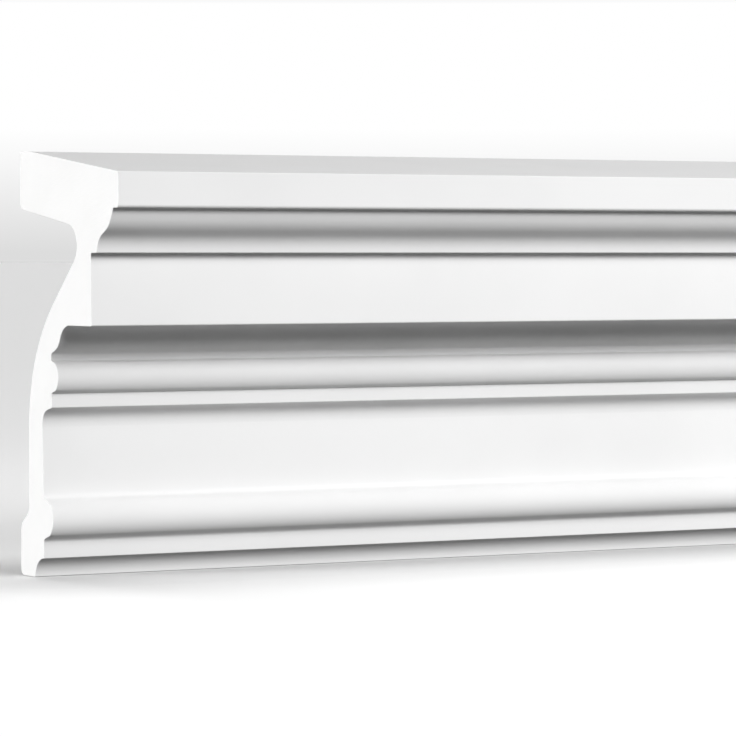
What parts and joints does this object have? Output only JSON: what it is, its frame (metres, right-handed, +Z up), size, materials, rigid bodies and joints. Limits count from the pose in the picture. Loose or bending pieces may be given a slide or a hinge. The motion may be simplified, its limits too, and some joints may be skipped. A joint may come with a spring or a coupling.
{
  "type": "window sill moulding",
  "caption": "Straight length of hollow-backed window sill moulding with a weathered top, plain fascias, cymas, beads and coves, cut square at both ends.",
  "frame": {"origin": "middle of the upper back strip, the flat face that is bedded on the wall above the hollow", "axes": "+X along the moulding, +Y into the wall, +Z up; the moulded front faces -Y"},
  "size_m": [1, 0.1003, 0.2],
  "materials": {
    "primed_foam": "smooth matt white primer on rigid closed-cell foam, bare foam on the sawn ends"
  },
  "bodies": {
    "root": {"sill_moulding": "primed_foam"}
  },
  "joints": []
}
